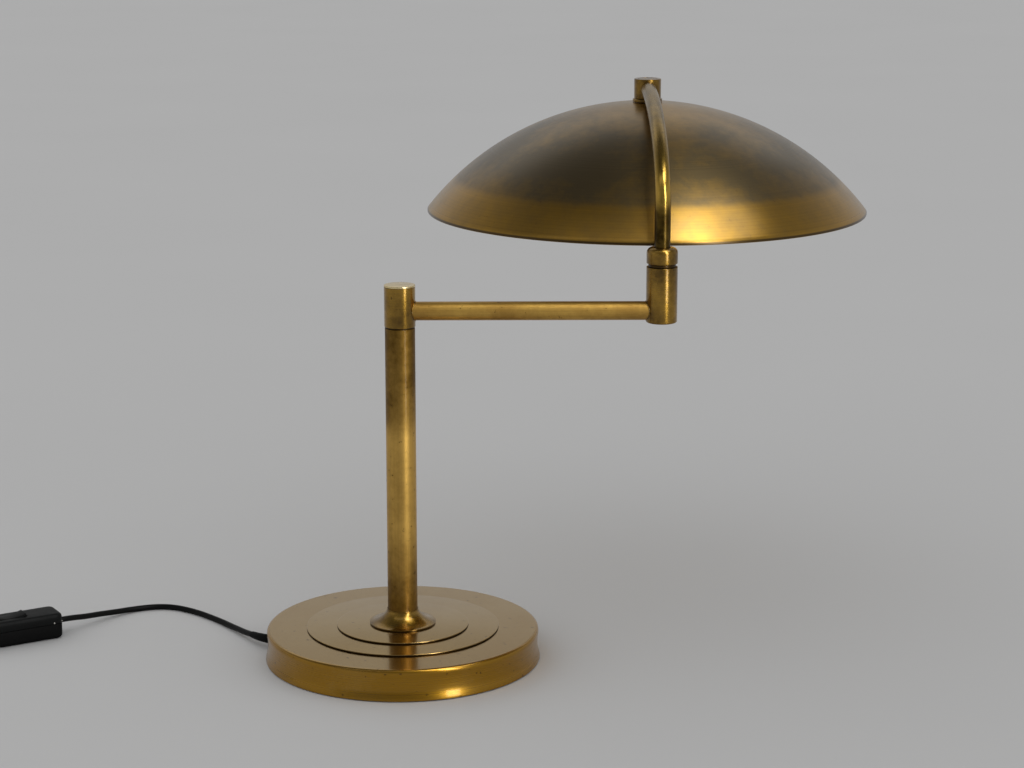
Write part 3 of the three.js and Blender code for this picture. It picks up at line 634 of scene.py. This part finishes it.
# The flange flares from the stem to its foot on a curve between a circle's arc and a straight slope:
# FLARE is the power, which is 2 for the arc and 1 for the slope.
FLANGE_RADIUS, FLANGE_BORE, FLANGE_FOOT, FLANGE_TOP, FLANGE_NECK = 27.8, 12.8, 31.4, 41.9, 13.2
FLARE, FLARE_STEPS = 1.5, 24
flare = []
for i in range(FLARE_STEPS + 1):
    share = math.sin(i / FLARE_STEPS * TURN / 4) ** 1.2
    depth = max(0, 1 - share ** FLARE) ** (1 / FLARE)
    flare.append((FLANGE_RADIUS - share * (FLANGE_RADIUS - FLANGE_NECK),
                  FLANGE_TOP - (FLANGE_TOP - FLANGE_FOOT) * depth))
flange = [(FLANGE_BORE, INNER_STEP_TOP), (FLANGE_RADIUS, INNER_STEP_TOP, 0.4),
          (FLANGE_RADIUS + 0.05, FLANGE_FOOT - 0.3, 0.25), *flare, (13.5, FLANGE_TOP + 0.4, 0.2),
          (13.3, FLANGE_TOP + 1, 0.2), (FLANGE_BORE, FLANGE_TOP + 1)]
finish_piece(spin_outline(flange, 128, ring=True), "trumpet_flange", TURNED_BRASS, "base", "aged_brass",
             "stem_flange")

STEM_RADIUS, STEM_BORE, STEM_FOOT, STEM_TOP = 12.5, 11, INNER_STEP_TOP + GAP, 284.2
stem = [(STEM_BORE, STEM_FOOT), (STEM_RADIUS, STEM_FOOT), (STEM_RADIUS, STEM_TOP, 0.35),
        (STEM_BORE, STEM_TOP)]
finish_piece(spin_outline(stem, 128, ring=True), "drawn_stem", STEM_BRASS, "base", "aged_brass", "stem_tube")

gland = spin_outline([(0, 104), (4, 104), (4, 116), (5.4, 116, 0.3), (5.4, GLAND_REACH, 0.6),
                      (0, GLAND_REACH)], 48)
finish_piece(moved(gland, X_AXIS, turned_by(GLAND_ANGLE), raised(GLAND_HEIGHT)), "gland_body", DARK_ABS,
             "base", "black_plastic", "cord_gland")
SLEEVE_RADII = [3.9, 3.8, 3.6, 3.45, 3.3, 3.1, 2.85]
sleeve = finish_piece(rod_along(sleeve_path, SLEEVE_RADII), "strain_relief_sleeve", DARK_ABS, "base",
                      "black_plastic", "cord_sleeve")


# Arm ---------------------------------------------------------------------------------------------------

PIVOT_HOLE = 6.3  # clears the hollow pivots that the arm and the neck turn on
KNUCKLE_RADIUS, KNUCKLE_BORE = 12.9, 9.3
ARM_HEIGHT, ARM_RADIUS, ARM_BORE = 298.1, 7.75, 6.55
ARM_START, ARM_STOP = 9.6, 205.9  # the tube's two ends, from the stem's axis
STEM_KNUCKLE_FOOT, STEM_KNUCKLE_FLOOR, STEM_KNUCKLE_TOP = 285.4, 289.2, 318.6
END_KNUCKLE_FOOT, END_KNUCKLE_CEILING, END_KNUCKLE_TOP = 288.4, 331.1, 334.9
to_neck = Matrix.Translation((ARM_LENGTH, 0, 0))
at_arm = raised(ARM_HEIGHT)

stem_knuckle = [(PIVOT_HOLE, STEM_KNUCKLE_FOOT), (KNUCKLE_RADIUS, STEM_KNUCKLE_FOOT, 0.35),
                (KNUCKLE_RADIUS, STEM_KNUCKLE_TOP), (KNUCKLE_BORE, STEM_KNUCKLE_TOP),
                (KNUCKLE_BORE, STEM_KNUCKLE_FLOOR), (PIVOT_HOLE, STEM_KNUCKLE_FLOOR)]
finish_piece(spin_outline(stem_knuckle, 128, ring=True), "stem_knuckle", TURNED_BRASS, "arm", "aged_brass",
             "arm_knuckle")
lid_foot = STEM_KNUCKLE_TOP + 0.2
stem_lid = [(0, 313.6), (9, 313.6), (9, lid_foot), (KNUCKLE_RADIUS, lid_foot, 0.15),
            (KNUCKLE_RADIUS, 320.15, 0.35), (6, 320.42, 2), (0, 320.5)]
finish_piece(spin_outline(stem_lid, 128), "stem_knuckle_lid", LID_HIGHLIGHT_BRASS, "arm", "aged_brass",
             "arm_knuckle_cap")
arm = spin_outline([(ARM_BORE, ARM_START), (ARM_RADIUS, ARM_START), (ARM_RADIUS, ARM_STOP),
                    (ARM_BORE, ARM_STOP)], ring=True)
finish_piece(moved(arm, X_AXIS, at_arm), "drawn_arm", ARM_BRASS, "arm", "aged_brass", "arm_tube")
end_knuckle = [(KNUCKLE_BORE, END_KNUCKLE_FOOT), (KNUCKLE_RADIUS, END_KNUCKLE_FOOT, 1.4),
               (KNUCKLE_RADIUS, END_KNUCKLE_TOP, 0.5), (PIVOT_HOLE, END_KNUCKLE_TOP),
               (PIVOT_HOLE, END_KNUCKLE_CEILING), (KNUCKLE_BORE, END_KNUCKLE_CEILING)]
finish_piece(moved(spin_outline(end_knuckle, 128, ring=True), to_neck), "arm_end_knuckle", TURNED_BRASS,
             "arm", "aged_brass", "end_knuckle")
end_plate = [(0, END_KNUCKLE_FOOT), (9, END_KNUCKLE_FOOT, 0.2), (9, 291.4), (0, 291.4)]
finish_piece(moved(spin_outline(end_plate, 64), to_neck), "end_knuckle_plate", TURNED_BRASS, "arm",
             "aged_brass", "end_knuckle_cap")


def braze(name, tube_radius, knuckle_radius, bead, place, body, steps=48):
    """The bead of brazing brass round a tube where it meets a knuckle."""
    loop = []
    for i in range(steps + 1):
        angle = TURN * i / steps
        across, high = tube_radius * math.cos(angle), tube_radius * math.sin(angle)
        loop.append(Vector((math.sqrt(knuckle_radius ** 2 - across ** 2), across, high)))
    bm = rod_along(loop, bead, 10)
    finish_piece(moved(bm, place), name, TURNED_BRASS, body, "aged_brass", sharp=80)


braze("stem_knuckle_braze", ARM_RADIUS, KNUCKLE_RADIUS, 0.7, at_arm, "arm")
braze("end_knuckle_braze", ARM_RADIUS, KNUCKLE_RADIUS, 0.6, to_neck @ at_arm @ turned_by(180), "arm")


# Neck --------------------------------------------------------------------------------------------------

BEARING_FOOT, BEARING_RADIUS, BEARING_TOP = 335.2, 11.4, 337.4
COLLAR_FOOT, COLLAR_SHOULDER, COLLAR_TOP = 337.7, 346.4, 351
PIVOT_FOOT, PIVOT_RADIUS, PIVOT_BORE = 318, 6, 3.6  # the collar's pivot, down in the end knuckle
SHOULDER = 4.5  # how far the collar's shoulder is rounded inwards
NECK_SEAT = 342  # the neck stands in the collar on this
NECK_RADIUS, NECK_BEND, NECK_END = 6.6, 385, 458.7
NECK_SHORT = 9  # the neck ends this far from the shade's axis
NECK_STEPS = 64
SHADE_KNUCKLE_RADIUS, SHADE_KNUCKLE_BORE = 12, 8.6
SHADE_KNUCKLE_FOOT, SHADE_KNUCKLE_FLOOR, SHADE_KNUCKLE_TOP = 449.9, 453.2, 467.2
to_shade = Matrix.Translation((ARM_LENGTH, NECK_REACH, 0))

bearing = spin_outline([(PIVOT_HOLE, BEARING_FOOT), (BEARING_RADIUS, BEARING_FOOT, 0.2),
                        (BEARING_RADIUS, BEARING_TOP, 0.2), (PIVOT_HOLE, BEARING_TOP)], ring=True)
finish_piece(moved(bearing, to_neck), "neck_bearing_ring", OILED_BRASS, "neck", "machined_brass",
             "neck_bearing_washer")
shoulder = [(KNUCKLE_RADIUS - SHOULDER * (1 - math.cos(math.radians(a))),
             COLLAR_SHOULDER + (COLLAR_TOP - COLLAR_SHOULDER) * math.sin(math.radians(a)))
            for a in range(0, 91, 9)]
collar = [(PIVOT_BORE, PIVOT_FOOT), (PIVOT_RADIUS, PIVOT_FOOT), (PIVOT_RADIUS, COLLAR_FOOT),
          (KNUCKLE_RADIUS, COLLAR_FOOT, 0.5), *shoulder, (6.9, COLLAR_TOP), (6.9, NECK_SEAT),
          (PIVOT_BORE, NECK_SEAT)]
finish_piece(moved(spin_outline(collar, 128, ring=True), to_neck), "neck_shoulder_collar", TURNED_BRASS,
             "neck", "aged_brass", "neck_collar")

# The neck is straight up to its bend, and then follows an ellipse to the shade's knuckle.
neck_foot = NECK_SEAT + GAP
neck_line = [Vector((ARM_LENGTH, 0, neck_foot + i * (NECK_BEND - neck_foot) / 8)) for i in range(8)]
neck_stop = math.acos(NECK_SHORT / NECK_REACH)
for i in range(NECK_STEPS + 1):
    angle = neck_stop * i / NECK_STEPS
    neck_line.append(Vector((ARM_LENGTH, NECK_REACH * (1 - math.cos(angle)),
                             NECK_BEND + (NECK_END - NECK_BEND) * math.sin(angle))))
finish_piece(rod_along(neck_line, NECK_RADIUS, 64), "bent_neck", NECK_BRASS, "neck", "aged_brass",
             "neck_tube")

shade_knuckle = [(THREAD_HOLE, SHADE_KNUCKLE_FOOT), (SHADE_KNUCKLE_RADIUS, SHADE_KNUCKLE_FOOT, 0.3),
                 (SHADE_KNUCKLE_RADIUS, SHADE_KNUCKLE_TOP, 0.4), (SHADE_KNUCKLE_BORE, SHADE_KNUCKLE_TOP),
                 (SHADE_KNUCKLE_BORE, SHADE_KNUCKLE_FLOOR), (THREAD_HOLE, SHADE_KNUCKLE_FLOOR)]
finish_piece(moved(spin_outline(shade_knuckle, ring=True), to_shade), "shade_top_knuckle", TURNED_BRASS,
             "neck", "aged_brass", "shade_knuckle")
shade_lid = spin_outline([(0, 465.2), (8.3, 465.2), (8.3, 467.1, 0.2), (0, 467.1)], 64)
finish_piece(moved(shade_lid, to_shade), "shade_knuckle_lid", TURNED_BRASS, "neck", "aged_brass",
             "shade_knuckle_cap")
braze("shade_knuckle_braze", NECK_RADIUS, SHADE_KNUCKLE_RADIUS, 0.6,
      to_shade @ raised(NECK_END) @ turned_by(-90), "neck")
rest_ring = spin_outline([(THREAD_HOLE, 447), (13.2, 447, 0.2), (13.2, 449.6, 0.5), (THREAD_HOLE, 449.6)],
                         ring=True)
finish_piece(moved(rest_ring, to_shade), "shade_rest_ring", TURNED_BRASS, "neck", "aged_brass",
             "shade_collar")


# Shade -------------------------------------------------------------------------------------------------

SPHERE, RIM, APEX, SHEET, LIP = 250.6, 197, 446.7, 0.8, 1.6
dome_middle = APEX - SPHERE


def dome_arc(radius, start, stop, steps=56):
    """A dome's outline about the sphere's middle, from one distance off its axis to another."""
    first, last = math.asin(start / radius), math.asin(stop / radius)
    angles = [first + (last - first) * i / steps for i in range(steps + 1)]
    return [(radius * math.sin(a), dome_middle + radius * math.cos(a)) for a in angles]


lip_foot = dome_middle + math.sqrt(SPHERE ** 2 - RIM ** 2) - LIP
inner_rim = RIM - 2 * SHEET
dome = [*dome_arc(SPHERE, THREAD_HOLE, RIM), (RIM, lip_foot, 0.3), (inner_rim, lip_foot, 0.3),
        *reversed(dome_arc(SPHERE - SHEET, THREAD_HOLE, inner_rim))]
finish_piece(moved(spin_outline(dome, 256, ring=True, rounding=3), to_shade), "spun_shade", SHADE_BRASS,
             "neck", "bronzed_brass", "shade_dome", sharp=40, second=SPUN_BRASS)
washer = spin_outline([(THREAD_HOLE, 443.6), (16, 443.6, 0.3), (16, 445, 0.2), (THREAD_HOLE, 445)], 64,
                      ring=True)
finish_piece(moved(washer, to_shade), "shade_inside_washer", ZINC, "neck", "zinc_plate", "shade_washer")

HUB_RADIUS, HUB_FOOT, HUB_TOP = 15, 373, 398
hub = spin_outline([(THREAD_HOLE, HUB_TOP), (THREAD_HOLE, 388.6), (1.5, 388.6), (1.5, HUB_FOOT),
                    (12, HUB_FOOT, 1), (HUB_RADIUS, HUB_FOOT + 3, 1.2), (HUB_RADIUS, HUB_TOP, 1)], ring=True)
finish_piece(moved(hub, to_shade), "holder_hub_body", MACHINED_BRASS, "neck", "machined_brass",
             "holder_hub")

# Two cups lie back to back on the hub, with a globe bulb in each, drawn from the shade's axis outwards.
HOLDER_HEIGHT, HOLDER_START, HOLDER_END, HOLDER_RADIUS, HOLDER_BORE = 385, HUB_RADIUS + GAP, 50, 14, 8.6
GLOBE_RADIUS, GLOBE_MIDDLE = 22.5, 86


def lamp_cup():
    """A waisted holder with three grip rings round its mouth."""
    outline = [(0, HOLDER_START), (8, HOLDER_START), (8, 20, 1), (HOLDER_RADIUS, 22.5, 1.5)]
    for start in (34, 39, 44):
        outline += [(HOLDER_RADIUS, start, 0.3), (HOLDER_RADIUS - 0.8, start + 0.8, 0.3),
                    (HOLDER_RADIUS - 0.8, start + 2, 0.3), (HOLDER_RADIUS, start + 2.8, 0.3)]
    outline += [(HOLDER_RADIUS, HOLDER_END, 0.6), (HOLDER_BORE, HOLDER_END, 0.6), (HOLDER_BORE, 27), (0, 27)]
    return spin_outline(outline, 64, rounding=3)


def globe_bulb():
    """A globe with a short neck that widens from the cap."""
    globe = [(GLOBE_RADIUS * math.sin(math.radians(a)),
              GLOBE_MIDDLE - GLOBE_RADIUS * math.cos(math.radians(a))) for a in range(36, 180, 6)]
    return spin_outline([(0, 52.3), (7.5, 52.3, 0.4), (8.2, 57, 2), (10.6, 65.5), *globe,
                         (0, GLOBE_MIDDLE + GLOBE_RADIUS)], 64)


for side, angle in (("left", 180), ("right", 0)):
    place = (X_AXIS, turned_by(angle), raised(HOLDER_HEIGHT), to_shade)
    finish_piece(moved(lamp_cup(), *place), f"lamp_cup_{side}", PHENOLIC, "neck", "bakelite",
                 f"lamp_holder_{side}")
    finish_piece(moved(globe_bulb(), *place), f"globe_bulb_{side}", OPAL, "neck", "opal_glass",
                 f"bulb_glass_{side}")


# Switch ------------------------------------------------------------------------------------------------

SWITCH_CORNER, SWITCH_BACK_EDGE, SWITCH_JOINT_EDGE = 6, 3.6, 0.5
switch_middle = level(SWITCH_START + SWITCH_ALONG * SWITCH_LENGTH / 2, 0)
to_switch = Matrix.Translation(switch_middle) @ turned_by(SWITCH_ANGLE)


def edges_at(bm, height):
    """The level edges at this height."""
    return [e for e in bm.edges if all(abs(v.co.z - height) < 0.01 for v in e.verts)]


def switch_half(name, joint, back, material, node):
    """Half of the switch's case, from the parting line to its back, with a soft edge round the back."""
    half = block((SWITCH_LENGTH, SWITCH_WIDTH, abs(back - joint)), (0, 0, (joint + back) / 2), SWITCH_CORNER)
    round_edges(half, edges_at(half, back), SWITCH_BACK_EDGE, 6)
    round_edges(half, edges_at(half, joint), SWITCH_JOINT_EDGE, 2)
    return finish_piece(moved(half, to_switch), name, material, "base", "black_plastic", node)


lower = switch_half("switch_case_lower", SWITCH_SPLIT, 0, DARK_ABS, "switch_lower_shell")
upper = switch_half("switch_case_upper", SWITCH_SPLIT + GAP, SWITCH_TOP, BLACK_ABS, "switch_upper_shell")

# The rocker lies in a window in the upper half. Its top is dished and its two ends stand up.
ROCKER_LENGTH, ROCKER_WIDTH, ROCKER_AXLE, ROCKER_TILT = 24, 12, 19.5, 5
WINDOW_GAP = 0.6
window = block((ROCKER_LENGTH + 2 * WINDOW_GAP, ROCKER_WIDTH + 2 * WINDOW_GAP, 12), (0, 0, 21.5), 0.8)
carve(upper, moved(window, to_switch))
rocker_half = [(6, -2), (ROCKER_LENGTH / 2, -1.4), (ROCKER_LENGTH / 2, 1.6), (11.4, 4.9), (6, 3.75)]
rocker_outline = [*rocker_half, (0, 3.4), *[(-x, z) for x, z in reversed(rocker_half)]]
rocker = pushed_out([(x, -ROCKER_WIDTH / 2, z) for x, z in rocker_outline], (0, ROCKER_WIDTH, 0))
round_edges(rocker, [e for e in rocker.edges if e.calc_face_angle(0) > 0.6], 0.5, 3)
tilt = raised(ROCKER_AXLE) @ Matrix.Rotation(math.radians(ROCKER_TILT), 4, "Y")
finish_piece(moved(rocker, tilt, to_switch), "rocker_key", BLACK_ABS, "rocker", "black_plastic",
             "switch_rocker", sharp=30)

# Bright heads of two pins: one in the side of the case, and one in the collar that grips the lamp's cord.
for number, pin_at in enumerate(((8.6, 14, 14.6), (-1.6, 4.1, 12.4))):
    pin = spin_outline([(0, -2), (0.7, -2), (0.7, 0.15, 0.1), (0, 0.25)], 24)
    at_pin = Matrix.Translation(pin_at) @ Matrix.Translation((-SWITCH_LENGTH / 2, 0, 0))
    finish_piece(moved(pin, X_AXIS, turned_by(90), at_pin, to_switch),
                                      f"case_pin_{number + 1}", NICKEL, "base", "nickel_plate")
# The collars that grip the cord at the switch's two ends.
for name, mouth, outwards in (("cord_grip_in", SWITCH_START, -SWITCH_ALONG),
                              ("cord_grip_out", SWITCH_END, SWITCH_ALONG)):
    grip = rod_along([mouth + outwards * far for far in (-3, 0, 1, 2.2, 2.6)], [4.2, 4.2, 4, 3.4, 2.8])
    finish_piece(grip, name, DARK_ABS, "base", "black_plastic")


# Plug --------------------------------------------------------------------------------------------------

RELIEF_LENGTH, PLUG_CASE_LENGTH, CONTACT_LENGTH = 22, 37, 19
to_plug = Matrix.Translation(level(coil_exit + PLUG_ALONG * PLUG_LEAD, 0)) @ turned_by(COIL_EXIT_ANGLE - 90)
in_plug = raised(PLUG_HEIGHT)

relief = [(0, 0), (3.1, 0, 0.3)]
for start in (3, 7, 11, 15):
    radius = 3.2 + start * 0.055
    relief += [(radius, start, 0.2), (radius - 0.7, start + 0.4, 0.2), (radius - 0.7, start + 1.6, 0.2),
               (radius + 0.1, start + 2, 0.2)]
relief += [(4.6, RELIEF_LENGTH - GAP), (0, RELIEF_LENGTH - GAP)]
plug_relief = finish_piece(moved(spin_outline(relief, 48, rounding=2), X_AXIS, in_plug, to_plug),
                           "plug_relief", DARK_ABS, "base", "black_plastic", "plug_strain_relief")

plug_half = [(0, 8), (12, 17.65), (27, 17.65), (PLUG_CASE_LENGTH, 12.5)]
plug_outline = [(x, -y) for x, y in plug_half] + [(x, y) for x, y in reversed(plug_half)]
case = pushed_out([(RELIEF_LENGTH + x, y, 0) for x, y in plug_outline], (0, 0, 2 * PLUG_HEIGHT))
round_edges(case, [e for e in case.edges if abs(e.verts[0].co.z - e.verts[1].co.z) > 1], 3.5, 6)
brims = [e for e in case.edges
         if abs(e.verts[0].co.z - e.verts[1].co.z) < 0.01 and e.calc_face_angle(0) > 1.2]
round_edges(case, brims, 2.6, 5)
plug_pieces = [finish_piece(moved(case, to_plug), "plug_case", BLACK_ABS, "base", "black_plastic",
                            "plug_body")]
for side, across in (("left", 9.5), ("right", -9.5)):
    contact = spin_outline([(0, 0), (2, 0), (2, CONTACT_LENGTH, 0.9), (0, CONTACT_LENGTH)], 32)
    at_contact = Matrix.Translation((RELIEF_LENGTH + PLUG_CASE_LENGTH + GAP, across, PLUG_HEIGHT))
    plug_pieces.append(finish_piece(moved(contact, X_AXIS, at_contact, to_plug), f"plug_contact_{side}",
                                    NICKEL, "base", "nickel_plate", f"plug_pin_{side}"))
plug_pieces.append(plug_relief)

# A strap round the coil keeps the turns together.
STRAP_ANGLE, STRAP_WIDE, STRAP_HIGH, STRAP_RADIUS, STRAP_STEPS = 20, 11.2, 5.2, 0.5, 40
strap_out = heading(STRAP_ANGLE)
strap_middle = coil_middle + strap_out * (COIL_TURN - 9) + UP * (STRAP_HIGH + STRAP_RADIUS)
strap_line = []
for i in range(STRAP_STEPS + 1):
    angle = TURN * i / STRAP_STEPS
    strap_line.append(strap_middle + strap_out * (STRAP_WIDE * math.cos(angle))
                      + UP * (STRAP_HIGH * math.sin(angle)))
strap = rod_along(strap_line, STRAP_RADIUS, 8)
plug_pieces.append(finish_piece(strap, "coil_tie", DARK_ABS, "base", "black_plastic"))


# Finish of the CAD nodes that stay -----------------------------------------------------------------------

# The CAD nodes that stay visible are plated steel, apart from these.
CAD_FINISH = {"stem_pivot": OILED_BRASS, "base_weight": IRON, "backing_board": BOARD, "gland_nut": DARK_ABS,
              "switch_contact_block": PHENOLIC}
for name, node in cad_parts.items():
    if not node.hide_render:
        node.data.materials.clear()
        node.data.materials.append(CAD_FINISH.get(name, ZINC))
